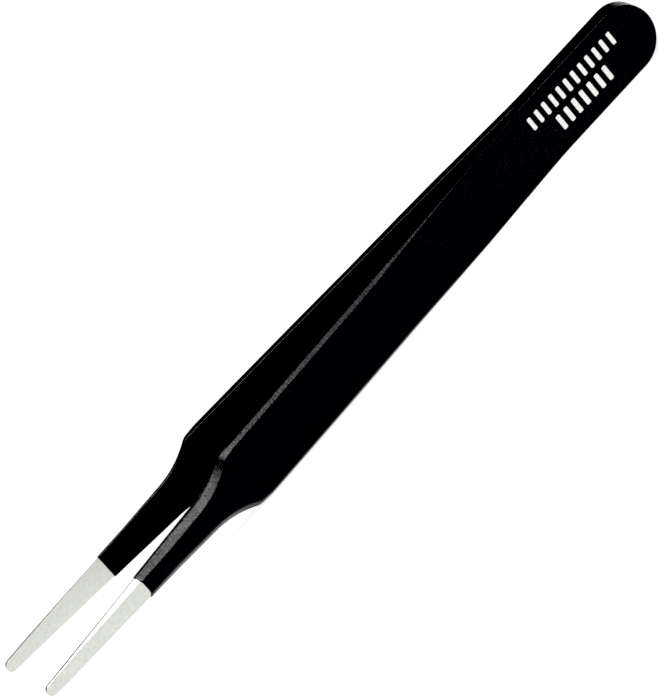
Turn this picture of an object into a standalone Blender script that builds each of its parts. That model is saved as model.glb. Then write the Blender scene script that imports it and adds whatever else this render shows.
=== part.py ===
"""Flat-tip precision tweezers: two spring-steel blades, spot-welded at the tail and coated in black epoxy
up to their bare tips.

Units are metres. +X runs from the tips to the tail, the arms open along Y, and the tweezers stand on the
edges of their arms, so +Z runs across the blades. The origin is the centre of the bounding box's underside.
The front arm, which carries the printed legend, is on the -Y side.

Each blade is one strip of steel on the real tool. Here it is divided at the flex line, just ahead of the
weld, so that the arm can turn on a hinge there as the real one bends.
"""

import math

import bmesh
import bpy

# Overall sizes
LENGTH = 0.120                 # from the bare tips to the coated end of the tail
BODY_WIDTH = 0.0099            # across a coated arm, behind the shoulder
WELD_LENGTH = 0.0176           # of the tail where the two blades lie together
BARE_LENGTH = 0.0185           # of each tip that is left uncoated

# Outline of a blade, seen from its flat side
TIP_WIDTH = 0.0018             # at the round end
NECK_WIDTH = 0.0052            # where the neck's taper meets the flare
SHOULDER_FROM_TIP = 0.0374
FLARE_ANGLE = math.radians(27)
FLARE_RADIUS = 0.012
SHOULDER_RADIUS = 0.0012
TAIL_ROUND_LENGTH = 0.0044     # of the half-round tail

# Thickness of a blade along its length
TIP_THICKNESS = 0.00035
BLADE_THICKNESS = 0.00127      # of the neck and the grip
FLEX_THICKNESS = 0.00100       # ground thinner where the arm bends
TAIL_THICKNESS = 0.00106
TIP_TAPER_LENGTH = 0.030       # over which the tip grows to full thickness
GRIND_LENGTH = 0.036           # ahead of the weld, where the grinding runs out
FLEX_FLAT_LENGTH = 0.012       # ahead of the weld, at the least thickness

# Bevels ground on the outer edges, and the broken inner edges
TIP_BEVEL = 0.00005
NECK_BEVEL = 0.00100           # at its widest, over the neck
BODY_BEVEL = 0.00048
TAIL_BEVEL = 0.00004
INNER_EDGE = 0.00005
BEVEL_START = 0.0035           # these six are distances from the tip
NECK_BEVEL_START = 0.024
NECK_BEVEL_END = 0.036
BODY_BEVEL_START = 0.0395
BODY_BEVEL_END = 0.068
BEVEL_END = 0.084
MOST_BEVEL = 0.8               # of the thickness or the half-width there, so that a flat stays beside it
MOST_INNER_EDGE = 0.3          # of the half-width

# Set of an arm: bent at the weld, then bowed back towards the tips
BEND_LENGTH = 0.005
SPREAD_SLOPE = 0.082
BOW_RADIUS = 1.75

# Coating and clearances
COAT_THICKNESS = 0.00012
FILM_GAP = 0.00002             # between the steel and its coating
WELD_FACE_GAP = 0.00002        # between the two blades at the weld
FLEX_GAP = 0.0002              # between the tail and an arm, at the flex line

# Spot welds
WELD_RADIUS = 0.0015
WELD_HEIGHT = 0.0007
WELD_SPACING = 0.0062
INNER_WELD_FROM_FLEX = 0.0085  # from the end of the bend back to the first weld's centre
WELD_SIDES = 24

# Printed legend on the front arm's tail: two lines, as distances from the tip and heights from mid-width
INK_THICKNESS = 0.00003
INK_GAP = 0.00001
LEGEND_CENTRE_FROM_TAIL = 0.0138
LONG_LINE = {"length": 0.0162, "height": 0.0024, "above": 0.0020}
SHORT_LINE = {"length": 0.0097, "height": 0.0027, "above": -0.0012}

# Fineness of the curves
ARC_STEPS = 5
END_STEPS = 7
BEND_STEPS = 4
LAST_END_ANGLE = math.radians(82)   # leaves a narrow flat at each round end
LONGEST_STEP = 0.0055

GROWTH_ACROSS_BEVEL = 2 - math.sqrt(2)   # how a 45 degree bevel grows as its faces move out
COATED = FILM_GAP + COAT_THICKNESS
STEEL_LENGTH = LENGTH - COATED
STEEL_HALF_WIDTH = BODY_WIDTH / 2 - COATED
MID_HEIGHT = BODY_WIDTH / 2
WELD_FRONT = LENGTH - WELD_LENGTH        # these three are distances from the tip
FLEX_LINE = WELD_FRONT - BEND_LENGTH
TAIL_ROUND_START = STEEL_LENGTH - TAIL_ROUND_LENGTH
FRONT, BACK = -1, 1                      # the side of the middle plane that an arm is on

COLOURS = {                              # linear colour, roughness and metallic value
    "steel": ((0.62, 0.64, 0.62, 1), 0.35, 1.0),
    "coating": ((0.012, 0.012, 0.014, 1), 0.38, 0.0),
    "ink": ((0.85, 0.85, 0.85, 1), 0.5, 0.0),
}


def clear_scene():
    for old in list(bpy.data.objects):
        bpy.data.objects.remove(old)


def blend(start, end, share):
    """A value between two, with share held from 0 to 1."""
    return start + (end - start) * min(1.0, max(0.0, share))


# ---- Shape of one arm, as functions of the distance from the tip ----

def inner_face(from_tip):
    """Distance of a blade's inner face from the middle plane."""
    ahead = WELD_FRONT - from_tip
    start = WELD_FACE_GAP / 2
    if ahead <= 0:
        return start
    if ahead < BEND_LENGTH:
        return start + SPREAD_SLOPE * ahead**2 / (2 * BEND_LENGTH)
    beyond = ahead - BEND_LENGTH
    return start + SPREAD_SLOPE * (ahead - BEND_LENGTH / 2) - beyond**2 / (2 * BOW_RADIUS)


def thickness(from_tip):
    ahead = WELD_FRONT - from_tip
    if ahead <= 0:
        return TAIL_THICKNESS
    if ahead < FLEX_FLAT_LENGTH:
        return blend(TAIL_THICKNESS, FLEX_THICKNESS, ahead / BEND_LENGTH)
    ground = (ahead - FLEX_FLAT_LENGTH) / (GRIND_LENGTH - FLEX_FLAT_LENGTH)
    body = blend(FLEX_THICKNESS, BLADE_THICKNESS, ground)
    return min(body, blend(TIP_THICKNESS, BLADE_THICKNESS, from_tip / TIP_TAPER_LENGTH))


def bevel(from_tip):
    if from_tip < NECK_BEVEL_END:
        return blend(TIP_BEVEL, NECK_BEVEL, (from_tip - BEVEL_START) / (NECK_BEVEL_START - BEVEL_START))
    if from_tip < BODY_BEVEL_START:
        onwards = (from_tip - NECK_BEVEL_END) / (BODY_BEVEL_START - NECK_BEVEL_END)
        return blend(NECK_BEVEL, BODY_BEVEL, onwards)
    return blend(BODY_BEVEL, TAIL_BEVEL, (from_tip - BODY_BEVEL_END) / (BEVEL_END - BODY_BEVEL_END))


def fillet(before, corner, after, radius):
    """Points of the arc that rounds a corner between two straight lines."""
    to_before = math.atan2(before[1] - corner[1], before[0] - corner[0])
    to_after = math.atan2(after[1] - corner[1], after[0] - corner[0])
    opening = (to_before - to_after + math.pi) % (2 * math.pi) - math.pi
    reach = radius / math.tan(abs(opening) / 2)
    to_centre = to_after + opening / 2
    away = math.hypot(reach, radius)
    centre = (corner[0] + away * math.cos(to_centre), corner[1] + away * math.sin(to_centre))
    first = math.atan2(corner[1] + reach * math.sin(to_before) - centre[1],
                       corner[0] + reach * math.cos(to_before) - centre[0])
    last = math.atan2(corner[1] + reach * math.sin(to_after) - centre[1],
                      corner[0] + reach * math.cos(to_after) - centre[0])
    turn = (last - first + math.pi) % (2 * math.pi) - math.pi
    return [(centre[0] + radius * math.cos(first + turn * step / ARC_STEPS),
             centre[1] + radius * math.sin(first + turn * step / ARC_STEPS))
            for step in range(ARC_STEPS + 1)]


def outline(grow):
    """Half-widths of an arm from tip to tail, as (distance from the tip, half-width) with grow added all round."""
    angles = [LAST_END_ANGLE * step / END_STEPS for step in range(END_STEPS + 1)]
    full = math.sin(LAST_END_ANGLE)
    tip = TIP_WIDTH / 2
    neck = NECK_WIDTH / 2
    neck_from_tip = SHOULDER_FROM_TIP - (STEEL_HALF_WIDTH - neck) / math.tan(FLARE_ANGLE)
    corners = ((tip, tip), (neck_from_tip, neck), (SHOULDER_FROM_TIP, STEEL_HALF_WIDTH),
               (TAIL_ROUND_START, STEEL_HALF_WIDTH))
    points = [(tip - tip * math.sin(a) / full, tip * math.cos(a)) for a in reversed(angles)]
    points += fillet(corners[0], corners[1], corners[2], FLARE_RADIUS)
    points += fillet(corners[1], corners[2], corners[3], SHOULDER_RADIUS)
    points = [(from_tip, half + grow) for from_tip, half in points]
    points += [(TAIL_ROUND_START + (TAIL_ROUND_LENGTH + grow) * math.sin(a) / full,
                (STEEL_HALF_WIDTH + grow) * math.cos(a)) for a in angles]
    return points


def stations(start, end, grow):
    """The outline between two distances from the tip, with points added where it runs straight for long."""
    points = outline(grow)

    def half_width(from_tip):
        for (x0, h0), (x1, h1) in zip(points, points[1:]):
            if x0 <= from_tip <= x1:
                return h0 + (h1 - h0) * (from_tip - x0) / (x1 - x0)
        return points[-1][1]

    turns = [WELD_FRONT - FLEX_FLAT_LENGTH, WELD_FRONT - GRIND_LENGTH, TIP_TAPER_LENGTH, BEVEL_START,
             NECK_BEVEL_START, NECK_BEVEL_END, BODY_BEVEL_START, BODY_BEVEL_END, BEVEL_END]
    turns += [FLEX_LINE + BEND_LENGTH * step / BEND_STEPS for step in range(BEND_STEPS + 1)]
    inside = [x for x, _ in points if start < x < end] + [x for x in turns if start < x < end]
    marks = sorted({round(x, 7) for x in [start, *inside, end]})
    places = [marks[0]]
    for mark in marks[1:]:
        pieces = math.ceil((mark - places[-1]) / LONGEST_STEP)
        places += [places[-1] + (mark - places[-1]) * (k + 1) / pieces for k in range(pieces)]
    return [(x, half_width(x)) for x in places]


# ---- Cross-sections, as points (y, height from mid-width) ----

def edge_sizes(from_tip, half, grow):
    """Outer face, and the bevel that fits the section there."""
    outer = inner_face(from_tip) + thickness(from_tip) + grow
    wanted = bevel(from_tip) + GROWTH_ACROSS_BEVEL * grow
    return outer, min(wanted, MOST_BEVEL * half, MOST_BEVEL * (thickness(from_tip) + 2 * grow))


def arm_section(from_tip, half, grow):
    inner = inner_face(from_tip) - grow
    outer, cut = edge_sizes(from_tip, half, grow)
    small = min(INNER_EDGE + GROWTH_ACROSS_BEVEL * grow, MOST_INNER_EDGE * half)
    return [(inner + small, -half), (outer - cut, -half), (outer, cut - half), (outer, half - cut),
            (outer - cut, half), (inner + small, half), (inner, half - small), (inner, small - half)]


def tail_section(from_tip, half, grow):
    """Both arms together, as the coating wraps them at the tail."""
    outer, cut = edge_sizes(from_tip, half, grow)
    side = [(outer - cut, -half), (outer, cut - half), (outer, half - cut), (outer - cut, half)]
    return side + [(-y, z) for y, z in reversed(side)]


# ---- Meshes ----

def along_x(from_tip):
    return from_tip - LENGTH / 2


def loops_of(section, start, end, grow, side=BACK):
    """Section loops from start to end, in world space."""
    return [[(along_x(x), side * y, MID_HEIGHT + z) for y, z in section(x, half, grow)]
            for x, half in stations(start, end, grow)]


def add_loft(mesh, loops):
    """Adds vertices for the loops and faces between them, and returns the vertices loop by loop."""
    rings = [[mesh.verts.new(point) for point in loop] for loop in loops]
    for one, two in zip(rings, rings[1:]):
        join_rings(mesh, one, two)
    return rings


def join_rings(mesh, one, two):
    for k in range(len(one)):
        following = (k + 1) % len(one)
        mesh.faces.new((one[k], one[following], two[following], two[k]))


def solid_loft(name, loops, finish):
    mesh = bmesh.new()
    rings = add_loft(mesh, loops)
    mesh.faces.new(rings[0])
    mesh.faces.new(rings[-1])
    return finish_object(name, mesh, finish)


def open_sleeve(name, outside, inside, finish):
    """A thin sleeve, open at both ends."""
    mesh = bmesh.new()
    outer, inner = add_loft(mesh, outside), add_loft(mesh, inside)
    join_rings(mesh, outer[0], inner[0])
    join_rings(mesh, outer[-1], inner[-1])
    return finish_object(name, mesh, finish)


def closed_sleeve(name, outside, inside, finish):
    """A thin pocket, open at its first loop and closed at its last."""
    mesh = bmesh.new()
    outer, inner = add_loft(mesh, outside), add_loft(mesh, inside)
    join_rings(mesh, outer[0], inner[0])
    mesh.faces.new(outer[-1])
    mesh.faces.new(inner[-1])
    return finish_object(name, mesh, finish)


def material(finish):
    if finish in bpy.data.materials:
        return bpy.data.materials[finish]
    colour, roughness, metallic = COLOURS[finish]
    made = bpy.data.materials.new(finish)
    made.use_nodes = True
    shader = made.node_tree.nodes["Principled BSDF"]
    shader.inputs["Base Color"].default_value = colour
    shader.inputs["Roughness"].default_value = roughness
    shader.inputs["Metallic"].default_value = metallic
    return made


def finish_object(name, mesh, finish):
    bmesh.ops.recalc_face_normals(mesh, faces=mesh.faces)
    data = bpy.data.meshes.new(name)
    mesh.to_mesh(data)
    mesh.free()
    data.materials.append(material(finish))
    data.shade_smooth()
    data.set_sharp_from_angle(angle=math.radians(20))
    made = bpy.data.objects.new(name, data)
    bpy.context.scene.collection.objects.link(made)
    return made


def hang_on(axis, *pieces):
    """Parents pieces to an empty on their joint's axis, and leaves them where they are."""
    for piece in pieces:
        piece.parent = axis
        piece.matrix_parent_inverse = axis.matrix_world.inverted()


def hinge_axis(name, side):
    """An empty in the middle of the blade's thickness at the flex line."""
    axis = bpy.data.objects.new(name, None)
    middle = inner_face(FLEX_LINE) + thickness(FLEX_LINE) / 2
    axis.location = (along_x(FLEX_LINE), side * middle, MID_HEIGHT)
    bpy.context.scene.collection.objects.link(axis)
    bpy.context.view_layer.update()
    return axis


# ---- The pieces ----

def weld_places():
    first = FLEX_LINE + INNER_WELD_FROM_FLEX
    return {"inner_weld": first, "outer_weld": first + WELD_SPACING}


def weld_disc(name, from_tip, gap):
    """A weld nugget between the blades, or with a gap the pocket that it fills."""
    mesh = bmesh.new()
    bmesh.ops.create_cone(mesh, cap_ends=True, segments=WELD_SIDES, radius1=WELD_RADIUS + gap,
                          radius2=WELD_RADIUS + gap, depth=WELD_HEIGHT + 2 * gap)
    disc = finish_object(name, mesh, "steel")
    disc.location = (along_x(from_tip), 0, MID_HEIGHT)
    disc.rotation_euler = (math.pi / 2, 0, 0)
    return disc


def cut_weld_pockets(blade):
    for name, from_tip in weld_places().items():
        pocket = weld_disc(blade.name + "_pocket_" + name, from_tip, FILM_GAP)
        pocket.hide_render = True
        pocket.display_type = "WIRE"
        cut = blade.modifiers.new(name, "BOOLEAN")
        cut.operation = "DIFFERENCE"
        cut.object = pocket


def make_arm(label, side):
    """A moving arm: the blade from the flex line to its bare tip, and the coating on it."""
    flex_end = FLEX_LINE - FLEX_GAP / 2
    blade = solid_loft(label + "_blade", loops_of(arm_section, 0, flex_end, 0, side), "steel")
    coating = open_sleeve(label + "_coating",
                          loops_of(arm_section, BARE_LENGTH, flex_end, COATED, side),
                          loops_of(arm_section, BARE_LENGTH, flex_end, FILM_GAP, side), "coating")
    hang_on(hinge_axis(label + "_flex_axis", side), blade, coating)


def make_blade_root(label, side):
    """The welded end of a blade, behind the flex line."""
    loops = loops_of(arm_section, FLEX_LINE + FLEX_GAP / 2, STEEL_LENGTH, 0, side)
    cut_weld_pockets(solid_loft(label + "_blade_root", loops, "steel"))


def make_tail_coating():
    start = FLEX_LINE + FLEX_GAP / 2
    closed_sleeve("tail_coating",
                  loops_of(tail_section, start, STEEL_LENGTH + COATED, COATED),
                  loops_of(tail_section, start, STEEL_LENGTH + FILM_GAP, FILM_GAP), "coating")


def make_legend_line(name, line):
    """A film of ink on the front arm's tail, following the outer face."""
    centre = LENGTH - LEGEND_CENTRE_FROM_TAIL
    start, end = centre - line["length"] / 2, centre + line["length"] / 2

    def section(from_tip, half, grow):
        face = edge_sizes(from_tip, half, COATED)[0] + INK_GAP
        low, high = line["above"] - line["height"] / 2, line["above"] + line["height"] / 2
        return [(face, low), (face + INK_THICKNESS, low), (face + INK_THICKNESS, high), (face, high)]

    solid_loft(name, loops_of(section, start, end, 0, FRONT), "ink")


def build():
    clear_scene()
    for label, side in (("front", FRONT), ("back", BACK)):
        make_arm(label, side)
        make_blade_root(label, side)
    for name, from_tip in weld_places().items():
        weld_disc(name, from_tip, 0)
    make_tail_coating()
    make_legend_line("legend_long_line", LONG_LINE)
    make_legend_line("legend_short_line", SHORT_LINE)


build()
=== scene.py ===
# %% [markdown]
# # Precision tweezers: surfaces, light and camera
#
# The tweezers are two sprung blades of stainless steel, spot-welded together at the tail. Everything but
# the last 18.5 mm of each tip is coated in black epoxy that bleeds static charge away.
#
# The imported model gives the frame: its sizes, its joints and the bodies that move. The shapes below
# follow the same sizes, with the soft edges and the continuous skins that the plain solids leave out.

# %% Load the frame
import math

import bmesh
import bpy
import numpy as np
from mathutils import Matrix, Vector


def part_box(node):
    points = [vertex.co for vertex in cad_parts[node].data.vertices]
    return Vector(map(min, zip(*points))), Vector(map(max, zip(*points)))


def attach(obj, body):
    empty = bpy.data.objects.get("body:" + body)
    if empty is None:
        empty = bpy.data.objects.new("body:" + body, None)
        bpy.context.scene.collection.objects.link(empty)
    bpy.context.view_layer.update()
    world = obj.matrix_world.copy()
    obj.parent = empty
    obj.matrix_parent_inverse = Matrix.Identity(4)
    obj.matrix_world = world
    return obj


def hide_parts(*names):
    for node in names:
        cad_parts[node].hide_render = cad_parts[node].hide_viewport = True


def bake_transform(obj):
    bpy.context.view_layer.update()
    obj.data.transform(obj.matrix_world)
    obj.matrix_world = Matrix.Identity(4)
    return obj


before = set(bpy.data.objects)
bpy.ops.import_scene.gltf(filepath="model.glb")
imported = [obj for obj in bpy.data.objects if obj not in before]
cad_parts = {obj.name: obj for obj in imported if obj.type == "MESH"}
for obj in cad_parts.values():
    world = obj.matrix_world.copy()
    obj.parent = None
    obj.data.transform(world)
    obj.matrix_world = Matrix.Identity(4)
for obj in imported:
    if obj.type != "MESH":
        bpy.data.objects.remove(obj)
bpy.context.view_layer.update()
print("solids:", sorted(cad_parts))

# %% [markdown]
# ## Sizes
#
# All lengths are in millimetres, and `s` is the distance from the tip towards the tail. A blade has an
# outline, seen from its flat side, and a profile across its edge. Keeping those two apart is the
# simplest way to describe a part that is stamped from strip and then ground, because that is how it is
# made.

# %% Sizes of a blade and its coating
MM = 0.001                      # metres
LENGTH, WIDTH = 120.0, 9.9
FILM_GAP, COAT = 0.02, 0.12
SKIN = FILM_GAP + COAT          # from the steel to the outside of the coating
WELD_GAP = 0.02                 # between the two blades where they are welded
STEEL_LENGTH = LENGTH - SKIN
STEEL_HALF = WIDTH / 2 - SKIN
BARE = 18.5                     # uncoated length of each tip
TIP_HALF, NECK_HALF = 0.9, 2.6
SHOULDER, FLARE = 37.4, math.radians(27)
WELD_FRONT = LENGTH - 17.6      # ahead of this the two blades part
BEND = 5.0                      # length over which each blade bends away
FLEX_LINE = WELD_FRONT - BEND
TAIL_ROUND = 4.4
TAIL_ROUND_START = STEEL_LENGTH - TAIL_ROUND
FRONT, BACK = -1, 1
SIDES = {"front": FRONT, "back": BACK}
print("steel strip:", STEEL_LENGTH, "mm long,", 2 * STEEL_HALF, "mm wide")

# %% [markdown]
# ## Set and thickness of an arm
#
# Each arm leaves the weld at a small angle and then bows gently, so that it springs open. The blade is
# thinnest where it flexes and tapers again to the tip. A bevel is ground along both outer edges. It is
# widest over the neck and narrower beside the grip, and it runs out before the weld.

# %% Curves of the arm along its length
SPREAD = 0.082                  # slope at which an arm leaves its bend
BOW_RADIUS = 1750.0


def ramp(places, values):
    """A value that runs straight between the given places along the blade."""
    return lambda s: np.interp(s, places, values)


def inner_face(s):
    """Distance of a blade's inner face from the middle plane."""
    ahead = np.maximum(WELD_FRONT - s, 0)
    beyond = np.maximum(ahead - BEND, 0)
    bent = SPREAD * np.minimum(ahead, BEND) ** 2 / (2 * BEND)
    return WELD_GAP / 2 + bent + SPREAD * beyond - beyond**2 / (2 * BOW_RADIUS)


# at the tip, the end of its taper, both ends of the grinding, the flex line and the weld
thickness = ramp((0, 30, WELD_FRONT - 36, WELD_FRONT - 12, FLEX_LINE, WELD_FRONT),
                 (0.35, 1.27, 1.27, 1.00, 1.00, 1.06))
# where it starts near the tip, both ends of the neck's, both ends of the grip's, and where it has run out
bevel = ramp((3.5, 24, 36, 39.5, 68, 84), (0.05, 1.00, 1.00, 0.48, 0.48, 0.04))
print("tips open by", round(2 * float(inner_face(0)), 2), "mm")

# %% [markdown]
# ## Outline of a blade
#
# The outline is a round tip, a long straight taper, a hollow flare up to the shoulder, parallel sides
# and a half-round tail. Corners are rounded with short curves that start and end on the straight lines,
# so that light runs over them without a break. Every point also carries its outward direction.
# Offsetting along that direction gives the bevels and the coating the same width all the way round, at
# the round ends too.

# %% Straight lines with rounded corners
CURVE_STEPS = 15                # points on each round stretch
FLARE_REACH, SHOULDER_REACH = 2.9, 0.42  # how far from its corner each rounding starts


def soften(points, reach, steps):
    """Replaces each inner corner of a line by a curve that starts and ends at most reach from it."""
    line = [points[0]]
    for before, corner, after, most in zip(points, points[1:], points[2:], reach):
        back, on = np.subtract(before, corner), np.subtract(after, corner)
        start = corner + back * min(most / np.hypot(*back), 0.5)
        end = corner + on * min(most / np.hypot(*on), 0.5)
        for t in np.linspace(0, 1, steps):
            line.append(start * (1 - t) ** 2 + 2 * t * (1 - t) * np.array(corner) + end * t * t)
    return np.array(line + [points[-1]])


neck_end = SHOULDER - (STEEL_HALF - NECK_HALF) / math.tan(FLARE)
sides = soften([(TIP_HALF, TIP_HALF), (neck_end, NECK_HALF), (SHOULDER, STEEL_HALF),
                (TAIL_ROUND_START, STEEL_HALF)], (FLARE_REACH, SHOULDER_REACH), CURVE_STEPS)
print("the neck ends", round(neck_end, 1), "mm from the tip")

# %% Outline points with their outward directions
LONGEST_STEP = 0.8


def spread_out(line, longest):
    """Adds points, so that no step along the line is longer than that."""
    full = [line[0]]
    for one, two in zip(line, line[1:]):
        count = max(1, math.ceil(np.hypot(*(two - one)) / longest))
        full += [one + (two - one) * k / count for k in range(1, count + 1)]
    return np.array(full)


quarter = np.radians(np.linspace(0, 90, CURVE_STEPS))
tip_round = np.stack([TIP_HALF - TIP_HALF * np.cos(quarter), TIP_HALF * np.sin(quarter)], 1)
tail_round = np.stack([TAIL_ROUND_START + TAIL_ROUND * np.sin(quarter), STEEL_HALF * np.cos(quarter)], 1)
OUTLINE = np.concatenate([tip_round[:-1], spread_out(sides, LONGEST_STEP), tail_round[1:]])
run = np.gradient(OUTLINE, axis=0)
run[0], run[-1] = (0, 1), (0, -1)
OUTWARD = np.stack([-run[:, 1], run[:, 0]], 1) / np.hypot(*run.T)[:, None]
print(len(OUTLINE), "outline points, widest", 2 * OUTLINE[:, 1].max(), "mm")

# %% [markdown]
# ## Profile of the edge
#
# Across the edge the blade has a small broken corner at its inner face, a flat, and the ground bevel at
# its outer face. The same profile, moved outwards, makes the coating, whose corners are rounder because
# paint draws back from a sharp edge as it cures.

# %% A ring of points round the blade at one place
EDGE_STEPS = 5
BROKEN_EDGE = 0.004             # the inner corners are only just taken off
BEVEL_GROWTH = 0.586            # of the distance by which the faces beside a 45 degree bevel move out
MOST_BEVEL, MOST_BROKEN = 0.8, 0.3       # shares of the half-width or thickness, so that a flat stays
LEAST_HALF = 0.3                # half-width below which the round tip's bevel shrinks no more
EDGE_CURVE, INNER_CURVE = 0.4, 0.25      # roundings, as shares of the broken edge and of the bevel
RUN_ON = 4.0                    # how far the profile's first and last lines go on over the flats


def ring(index, grow, side, softness):
    """Points round the blade at one outline point, with grow added all round and a softened outer edge."""
    s, half = OUTLINE[index]
    out_s, out_z = OUTWARD[index]
    tall = thickness(s) + 2 * grow
    cut = min(bevel(s) + BEVEL_GROWTH * grow, MOST_BEVEL * max(half, LEAST_HALF) + grow, MOST_BEVEL * tall)
    small = min(BROKEN_EDGE + BEVEL_GROWTH * grow, MOST_BROKEN * tall)
    inner, outer = -grow, thickness(s) + grow
    reach = (EDGE_CURVE * small, EDGE_CURVE * small, INNER_CURVE * cut, softness * cut)
    profile = soften([(inner, cut + RUN_ON), (inner, small), (inner + small, 0), (outer - cut, 0),
                      (outer, cut), (outer, cut + RUN_ON)], reach, EDGE_STEPS)[1:-1]
    # where the two arms meet, steel and coating both stop just short of the middle plane
    nearest = np.interp(grow, (0, SKIN), (WELD_GAP / 2, WELD_GAP / 6))
    upper, lower = [], []
    for y, inset in profile:
        place = s + out_s * (grow - inset)
        height = max(half + out_z * (grow - inset), 0.0)
        across = side * max(inner_face(place) + y, nearest)
        upper.append((place, across, height))
        lower.append((place, across, -height))
    return upper + lower[::-1]


sample = ring(len(OUTLINE) // 2, 0, BACK, 0.3)
print(len(sample), "points round the blade")

# %% [markdown]
# ## From rings to a surface
#
# Rings along the blade are joined by four-sided faces. At a round end the ring closes up to a line, and
# merging its doubled points closes the mesh. A weighted-normal modifier keeps the wide flats flat in the
# light although they share smooth edges with the narrow roundings.

# %% Build a mesh from rings
SAME_POINT, NO_LENGTH = 2e-7, 1e-8       # metres, below the shortest step of any rounding


def to_frame(point):
    """The place in the frame, in metres, of a point given along, across and up the blade in millimetres."""
    s, y, z = point
    return Vector(((s - LENGTH / 2) * MM, y * MM, (z + WIDTH / 2) * MM))


def join_loops(mesh, loops):
    """Four-sided faces between each closed loop of vertices and the next."""
    for one, two in zip(loops, loops[1:]):
        for k in range(len(one)):
            after = (k + 1) % len(one)
            mesh.faces.new((one[k], one[after], two[after], two[k]))


def add_rings(mesh, rings):
    """Vertices and faces for rings of points."""
    join_loops(mesh, [[mesh.verts.new(to_frame(point)) for point in points] for points in rings])


def finish_piece(name, mesh, finish):
    """Cleans a mesh and makes it a smooth piece of the given material."""
    bmesh.ops.remove_doubles(mesh, verts=mesh.verts, dist=SAME_POINT)
    bmesh.ops.dissolve_degenerate(mesh, edges=mesh.edges, dist=NO_LENGTH)
    bmesh.ops.recalc_face_normals(mesh, faces=mesh.faces)
    data = bpy.data.meshes.new(name)
    mesh.to_mesh(data)
    mesh.free()
    data.materials.append(finish)
    data.shade_smooth()
    piece = bpy.data.objects.new(name, data)
    bpy.context.scene.collection.objects.link(piece)
    even = piece.modifiers.new("flat faces stay flat", "WEIGHTED_NORMAL")
    even.mode = "FACE_AREA_WITH_ANGLE"
    print(name, "has", len(data.polygons), "faces")
    return piece


print("the tip is at", [round(v, 4) for v in to_frame((0, 0, 0))], "m")

# %% [markdown]
# ## Colours and nodes
#
# Colours are written as sRGB hex values, and turned to the linear values that
# a shader adds up. One helper places every node, so each material reads as a short list of what feeds
# what.

# %% Colour and node helpers
def linear(hex_colour):
    """Linear RGBA of an sRGB hex colour."""
    parts = [int(hex_colour[k:k + 2], 16) / 255 for k in (1, 3, 5)]
    return tuple(c / 12.92 if c <= 0.04045 else ((c + 0.055) / 1.055) ** 2.4 for c in parts) + (1.0,)


def add_node(tree, kind, settings, links=()):
    """Adds a node, sets its fields and sockets, and links (socket, source) pairs to it."""
    node = tree.nodes.new(kind)
    for name, value in settings.items():
        if isinstance(name, int) or name in node.inputs:
            node.inputs[name].default_value = value
        else:
            setattr(node, name, value)
    for socket, source in links:
        tree.links.new(source, node.inputs[socket])
    return node


def new_material(name, values):
    """A material, its node tree, its shader and coordinates in metres on the piece."""
    made = bpy.data.materials.new(name)
    made.use_nodes = True
    tree = made.node_tree
    shader = tree.nodes["Principled BSDF"]
    for socket, value in values.items():
        shader.inputs[socket].default_value = value
    coordinates = add_node(tree, "ShaderNodeTexCoord", {}).outputs["Object"]
    return made, tree, shader, coordinates


print("middle grey #808080 is", round(linear("#808080")[0], 3), "in linear light")

# %% [markdown]
# ## Black epoxy coating
#
# Epoxy powder or dipped epoxy, filled with carbon so that it bleeds static away, and cured in an oven.
# It dries to a semi-gloss black with a very fine pebbled grain. The grain is what turns a lamp's
# reflection on the bevel into a mottled grey band. Real grain is about 0.1 mm across; here it is 0.3 mm,
# so that it shows.

# %% Black epoxy coating
GRAIN = 0.3 * MM
CLOUD = 3.5 * MM                # slow change in gloss, where the coating flowed
epoxy, tree, shader, where = new_material("cured_black_epoxy", {"IOR": 1.5, "Specular IOR Level": 0.25})
grain = add_node(tree, "ShaderNodeTexNoise", {"Scale": 1 / GRAIN, "Detail": 2.0, "Roughness": 0.6},
                 [("Vector", where)])
cloud = add_node(tree, "ShaderNodeTexNoise", {"Scale": 1 / CLOUD, "Detail": 3.0, "Roughness": 0.55},
                 [("Vector", where)])
mixed = add_node(tree, "ShaderNodeMath", {"operation": "MULTIPLY_ADD", 1: 0.35},
                 [(0, cloud.outputs["Fac"]), (2, grain.outputs["Fac"])])
tint = add_node(tree, "ShaderNodeValToRGB", {}, [("Fac", mixed.outputs[0])])
for stop, level, colour in zip(tint.color_ramp.elements, (0.45, 0.9), ("#050508", "#0C0C0F")):
    stop.position, stop.color = level, linear(colour)
gloss = add_node(tree, "ShaderNodeMapRange",
                 {"From Min": 0.45, "From Max": 0.9, "To Min": 0.20, "To Max": 0.42},
                 [("Value", mixed.outputs[0])])
pebble = add_node(tree, "ShaderNodeBump", {"Strength": 0.9, "Distance": 0.03 * MM},
                  [("Height", grain.outputs["Fac"])])
for socket, source in (("Base Color", tint.outputs[0]), ("Roughness", gloss.outputs[0]),
                       ("Normal", pebble.outputs[0])):
    tree.links.new(source, shader.inputs[socket])
print(epoxy.name, "has a grain of", round(GRAIN / MM, 2), "mm")

# %% [markdown]
# ## Ground stainless steel
#
# The bare tips are hardened stainless steel, ground on a fine wheel along their length and then lightly
# tumbled. That leaves faint lines lengthwise, small cloudy patches and a soft satin shine. Real lines
# are about 0.02 mm apart; they are drawn 0.09 mm apart, which is as fine as still shows.

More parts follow.
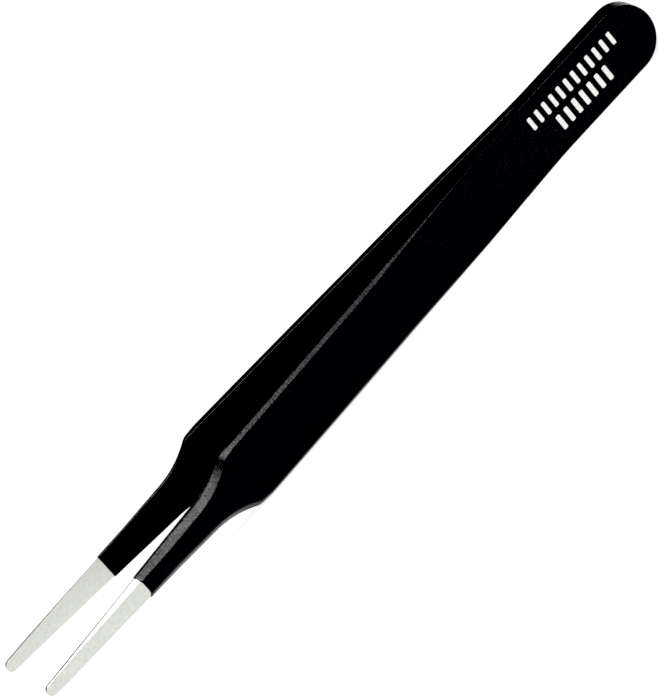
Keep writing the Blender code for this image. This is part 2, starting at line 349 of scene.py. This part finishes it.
# %% Ground stainless steel
LINE, LINE_LENGTH = 0.09 * MM, 4 * MM
PATCH = 0.3 * MM
steel, tree, shader, where = new_material("ground_stainless_steel", {"Metallic": 1.0})
stretched = add_node(tree, "ShaderNodeVectorMath",
                     {"operation": "MULTIPLY", 1: (1 / LINE_LENGTH, 1 / LINE, 1 / LINE)}, [(0, where)])
lines = add_node(tree, "ShaderNodeTexNoise", {"Scale": 1.0, "Detail": 2.0},
                 [("Vector", stretched.outputs[0])])
patches = add_node(tree, "ShaderNodeTexNoise", {"Scale": 1 / PATCH, "Detail": 4.0}, [("Vector", where)])
worn = add_node(tree, "ShaderNodeMath", {"operation": "MULTIPLY_ADD", 1: 0.5},
                [(0, lines.outputs["Fac"]), (2, patches.outputs["Fac"])])
shade = add_node(tree, "ShaderNodeValToRGB", {}, [("Fac", worn.outputs[0])])
for stop, level, colour in zip(shade.color_ramp.elements, (0.5, 1.0), ("#C1C4BE", "#D6D8D3")):
    stop.position, stop.color = level, linear(colour)
satin = add_node(tree, "ShaderNodeMapRange",
                 {"From Min": 0.5, "From Max": 1.0, "To Min": 0.30, "To Max": 0.42},
                 [("Value", worn.outputs[0])])
scratch = add_node(tree, "ShaderNodeBump", {"Strength": 0.25, "Distance": 0.004 * MM},
                   [("Height", lines.outputs["Fac"])])
for socket, source in (("Base Color", shade.outputs[0]), ("Roughness", satin.outputs[0]),
                       ("Normal", scratch.outputs[0])):
    tree.links.new(source, shader.inputs[socket])
print(steel.name, "has lines", round(LINE / MM, 2), "mm apart")

# %% [markdown]
# ## Screen-printed white ink
#
# The mark on the tail is a thick white ink, pressed through a screen. It dries matt and a little uneven,
# because the screen's threads leave thinner and thicker spots about 0.15 mm across.

# %% Screen-printed white ink
THREADS = 0.15 * MM
ink, tree, shader, where = new_material("screen_printed_white_ink", {"Roughness": 0.55, "IOR": 1.5})
spots = add_node(tree, "ShaderNodeTexNoise", {"Scale": 1 / THREADS, "Detail": 2.0}, [("Vector", where)])
cover = add_node(tree, "ShaderNodeValToRGB", {}, [("Fac", spots.outputs["Fac"])])
for stop, level, colour in zip(cover.color_ramp.elements, (0.25, 0.6), ("#ECECEA", "#FAFAF8")):
    stop.position, stop.color = level, linear(colour)
tree.links.new(cover.outputs[0], shader.inputs["Base Color"])
print(ink.name, "has spots of", round(THREADS / MM, 2), "mm")

# %% [markdown]
# ## Weld metal
#
# The welds were made by a current through both blades. The steel melted and set again in a disc, which
# the heat left rough and straw-coloured.

# %% Weld metal
RIPPLE = 0.3 * MM
weld, tree, shader, where = new_material("straw_tinted_weld_steel", {"Metallic": 1.0})
ripple = add_node(tree, "ShaderNodeTexNoise", {"Scale": 1 / RIPPLE, "Detail": 3.0}, [("Vector", where)])
heat = add_node(tree, "ShaderNodeValToRGB", {}, [("Fac", ripple.outputs["Fac"])])
for stop, colour in zip(heat.color_ramp.elements, ("#8E8A80", "#B7A77F")):
    stop.color = linear(colour)
rough = add_node(tree, "ShaderNodeMapRange", {"To Min": 0.4, "To Max": 0.6},
                 [("Value", ripple.outputs["Fac"])])
tree.links.new(heat.outputs[0], shader.inputs["Base Color"])
tree.links.new(rough.outputs[0], shader.inputs["Roughness"])
print(weld.name, "has ripples of", round(RIPPLE / MM, 2), "mm")

# %% [markdown]
# ## The two blades
#
# Each blade is one strip of spring steel from tip to tail, so here it is one mesh. The coating hides most
# of it, and only the tip shows.

# %% Steel blades
GROUND_EDGE = 0.8               # rounding of the bevel's outer corner, as a share of the bevel


def bend_with_arm(piece):
    """Bakes the piece's placing into its mesh; it does not bend the piece."""
    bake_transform(piece)


for label, side in SIDES.items():
    mesh = bmesh.new()
    add_rings(mesh, [ring(k, 0, side, GROUND_EDGE) for k in range(len(OUTLINE))])
    blade = finish_piece(label + "_steel_blade", mesh, steel)
    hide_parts(label + "_blade", label + "_blade_root")
    bend_with_arm(blade)

# %% [markdown]
# ## The coating
#
# The coating is a skin 0.12 mm thick. It is modelled as a real sleeve with an inside and an outside,
# because its end, where the bare steel starts, shows as a small rounded step. Each arm has one skin that
# runs right to the tail, where the two meet in a fine seam over the line between the blades.

# %% The coating's end
HOLLOW = 0.38                   # how far the coating's end line draws back in the middle of each face
skin_start = int(np.searchsorted(OUTLINE[:, 0], BARE + 0.5))
skin_rounding = ramp((68, 84), (0.25, 0.9))   # the wide bevel stays flat, the tail's plain edge is round
# the rounded step at the end: how far out from the steel, and how far back from the end line
LIP = [(FILM_GAP, 0.0), (FILM_GAP + 0.45 * COAT, 0.0), (FILM_GAP + 0.8 * COAT, 0.02), (SKIN, 0.07)]


def end_ring(grow, back, side):
    """A ring of the coating's end, where the dipped skin stops in a shallow curve."""
    points = ring(skin_start, grow, side, skin_rounding(BARE))
    half = max(z for _, _, z in points)
    along, widening = OUTLINE[skin_start] - OUTLINE[skin_start - 1]
    line = []
    for s, y, z in points:
        place = BARE + back + HOLLOW * (1 - (z / half) ** 2)
        narrower = 1 - widening / along * (s - place) / half
        inwards = side * float(inner_face(place) - inner_face(s))
        line.append((place, y + inwards, z * narrower))
    return line


print("the coating starts", BARE, "mm from the tip")

# %% Epoxy skins
for label, side in SIDES.items():
    mesh = bmesh.new()
    places = range(skin_start, len(OUTLINE))
    outside = [end_ring(grow, back, side) for grow, back in LIP]
    outside += [ring(k, SKIN, side, skin_rounding(OUTLINE[k, 0])) for k in places]
    inside = [end_ring(FILM_GAP, 0.0, side)]
    inside += [ring(k, FILM_GAP, side, skin_rounding(OUTLINE[k, 0])) for k in places]
    add_rings(mesh, outside)
    add_rings(mesh, inside)
    skin = finish_piece(label + "_epoxy_skin", mesh, epoxy)
    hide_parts(label + "_coating", "tail_coating")
    bend_with_arm(skin)

# %% [markdown]
# ## The printed mark
#
# Two rows of plain upright bars stand for the maker's lettering, which isn't copied. Each bar is a film
# of ink with rounded corners, lying on the outer face of the front skin.

# %% One printed bar
BAR_CORNER, BAR_STEPS = 0.2, 5
INK_LAYERS = ((0.008, 0.0), (0.026, 0.0), (0.034, 0.05))   # height over the coating, inset from the rim


def bar(mesh, start, end, low, high):
    """A rounded bar of ink on the front arm's outer face."""
    corners = [(end - BAR_CORNER, high - BAR_CORNER, 0), (start + BAR_CORNER, high - BAR_CORNER, 90),
               (start + BAR_CORNER, low + BAR_CORNER, 180), (end - BAR_CORNER, low + BAR_CORNER, 270)]
    turns = np.linspace(0, 90, BAR_STEPS)
    rim = [(s + BAR_CORNER * math.cos(math.radians(first + turn)),
            z + BAR_CORNER * math.sin(math.radians(first + turn)))
           for s, z, first in corners for turn in turns]
    loops = []
    for lift, inset in INK_LAYERS:
        loop = []
        for s, z in rim:
            s -= math.copysign(inset, s - (start + end) / 2)
            z -= math.copysign(inset, z - (low + high) / 2)
            face = inner_face(s) + thickness(s) + SKIN
            loop.append(mesh.verts.new(to_frame((s, FRONT * (face + lift), z))))
        loops.append(loop)
    join_loops(mesh, loops)
    mesh.faces.new(loops[0])
    mesh.faces.new(loops[-1])


print("a bar has", 4 * BAR_STEPS, "points round its rim")

# %% Two rows of bars
ROW_MARGIN = 0.15               # above and below the bars, within the printed line


def print_row(name, node, count, width):
    """A row of upright bars, evenly spread over the height and length of a printed line."""
    low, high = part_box(node)
    start, end = low.x / MM + LENGTH / 2, high.x / MM + LENGTH / 2
    bottom, top = low.z / MM - WIDTH / 2, high.z / MM - WIDTH / 2
    step = (end - start - width) / (count - 1)
    mesh = bmesh.new()
    for k in range(count):
        bar(mesh, start + k * step, start + k * step + width, bottom + ROW_MARGIN, top - ROW_MARGIN)
    row = finish_piece(name, mesh, ink)
    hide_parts(node)
    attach(row, "tail")


print_row("printed_upper_row", "legend_long_line", 12, 0.62)
print_row("printed_lower_row", "legend_short_line", 7, 0.7)

# %% [markdown]
# ## The welds
#
# The weld discs sit between the blades where nobody sees them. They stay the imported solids, with the
# right metal.

# %% Weld discs
for name in ("inner_weld", "outer_weld"):
    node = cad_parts[name]
    node.data.materials.clear()
    node.data.materials.append(weld)
    print(name, "is now", node.data.materials[0].name)

# %% [markdown]
# ## Floor
#
# The floor is matt white card on a light table. It glows by itself, which fills the shadows almost away,
# as in a catalogue shot. A real sheet is fibrous, so its white varies very slightly.

# %% Floor
FIBRE = 2 * MM
TABLE_GLOW = 0.82               # of full white
card, tree, shader, where = new_material("matt_white_card",
                                         {"Roughness": 0.9, "Emission Strength": TABLE_GLOW})
fibre = add_node(tree, "ShaderNodeTexNoise", {"Scale": 1 / FIBRE, "Detail": 3.0}, [("Vector", where)])
paper = add_node(tree, "ShaderNodeValToRGB", {}, [("Fac", fibre.outputs["Fac"])])
for stop, colour in zip(paper.color_ramp.elements, ("#F1F1F0", "#F5F5F4")):
    stop.color = linear(colour)
tree.links.new(paper.outputs[0], shader.inputs["Base Color"])
tree.links.new(paper.outputs[0], shader.inputs["Emission Color"])
bpy.ops.mesh.primitive_plane_add(size=6, location=(0, 0, 0))
floor = bpy.context.object
floor.name = "floor"
floor.data.materials.append(card)
print("the floor is made of", card.name)

# %% [markdown]
# ## Light
#
# The soft box above lights only matt surfaces, and the wide fill in front lights everything. The
# reflectors show only in glossy surfaces, like the white boards that are moved about in a studio until a
# metal edge shines. The strong one in front is where the ground bevels mirror it, so it draws the grey
# band along the black neck and whitens the steel bevel. The one behind traces the top edges, and the
# faint one above gives the steel a grey that still shows against the white floor when it is seen from
# above.

# %% Lights
AROUND = 0.12                   # of white, from every side
BOARD = (0.63, 0.3)             # metres
world = bpy.data.worlds.new("studio")
bpy.context.scene.world = world
world.use_nodes = True
world.node_tree.nodes["Background"].inputs["Color"].default_value = (1, 1, 1, 1)
world.node_tree.nodes["Background"].inputs["Strength"].default_value = AROUND


def soft_box(name, direction, distance, size, radiance, matt=True, glossy=True):
    """An area light that faces the tweezers, for matt surfaces, for reflections or for both."""
    lamp = bpy.data.lights.new(name, "AREA")
    lamp.shape, lamp.size, lamp.size_y = "RECTANGLE", size[0], size[1]
    lamp.energy = radiance * math.pi * size[0] * size[1]
    box = bpy.data.objects.new(name, lamp)
    bpy.context.scene.collection.objects.link(box)
    box.location = Vector(direction).normalized() * distance
    box.rotation_euler = box.location.to_track_quat("Z", "Y").to_euler()
    box.visible_diffuse, box.visible_glossy = matt, glossy
    print(name, round(lamp.energy, 2), "W")


soft_box("top_soft_box", (0.0, -0.1, 1.0), 1.0, (0.6, 0.6), 2.5, glossy=False)
soft_box("top_reflector", (0.0, 0.0, 1.0), 1.0, (0.6, 0.6), 0.7, matt=False)
soft_box("front_fill", (0.0, -1.0, 0.45), 1.0, (1.6, 0.8), 1.03)
soft_box("front_reflector", (-0.1, -0.53, 0.84), 0.9, BOARD, 14.0, matt=False)
soft_box("back_reflector", (0.0, 0.53, 0.84), 0.9, BOARD, 3.0, matt=False)

# %% [markdown]
# ## Exposure
#
# A catalogue shot has its blacks pulled down, so that a black coating comes out solid black. The curve's
# black level does that here, and leaves a trace of blue in the darkest tones.

# %% Black level
look = bpy.context.scene.view_settings
look.view_transform = "Standard"
look.use_curve_mapping = True
look.curve_mapping.black_level = (0.030, 0.030, 0.0290)
print("black level", [round(v, 3) for v in look.curve_mapping.black_level])

# %% [markdown]
# ## Camera
#
# A long lens a metre away flattens the shape, as in a catalogue. The camera looks down by about 31
# degrees and is rolled, so that the tweezers lie across the view from their tips at the lower left to
# their tail.

# %% Camera
AZIMUTH, ELEVATION, ROLL = math.radians(-12.158), math.radians(31.066), math.radians(40.928)
DISTANCE = 1.0395               # metres, to the middle of the tweezers
ASIDE, DOWN = 1.314 * MM, 0.734 * MM     # a small move sideways, which centres the tweezers
towards = Vector((math.sin(AZIMUTH) * math.cos(ELEVATION), -math.cos(AZIMUTH) * math.cos(ELEVATION),
                  math.sin(ELEVATION)))
level = Vector((math.cos(AZIMUTH), math.sin(AZIMUTH), 0))
upright = towards.cross(level)
across = level * math.cos(ROLL) - upright * math.sin(ROLL)
upwards = level * math.sin(ROLL) + upright * math.cos(ROLL)
place = to_frame((LENGTH / 2, 0, 0)) + DISTANCE * towards - ASIDE * across - DOWN * upwards
camera_data = bpy.data.cameras.new("camera")
camera_data.sensor_width, camera_data.lens = 36, 412.2
camera_data.clip_start, camera_data.clip_end = 0.05, 20
camera = bpy.data.objects.new("camera", camera_data)
bpy.context.scene.collection.objects.link(camera)
camera.matrix_world = Matrix.Translation(place) @ Matrix((across, upwards, towards)).transposed().to_4x4()
bpy.context.scene.camera = camera
print("camera at", [round(v, 3) for v in place])
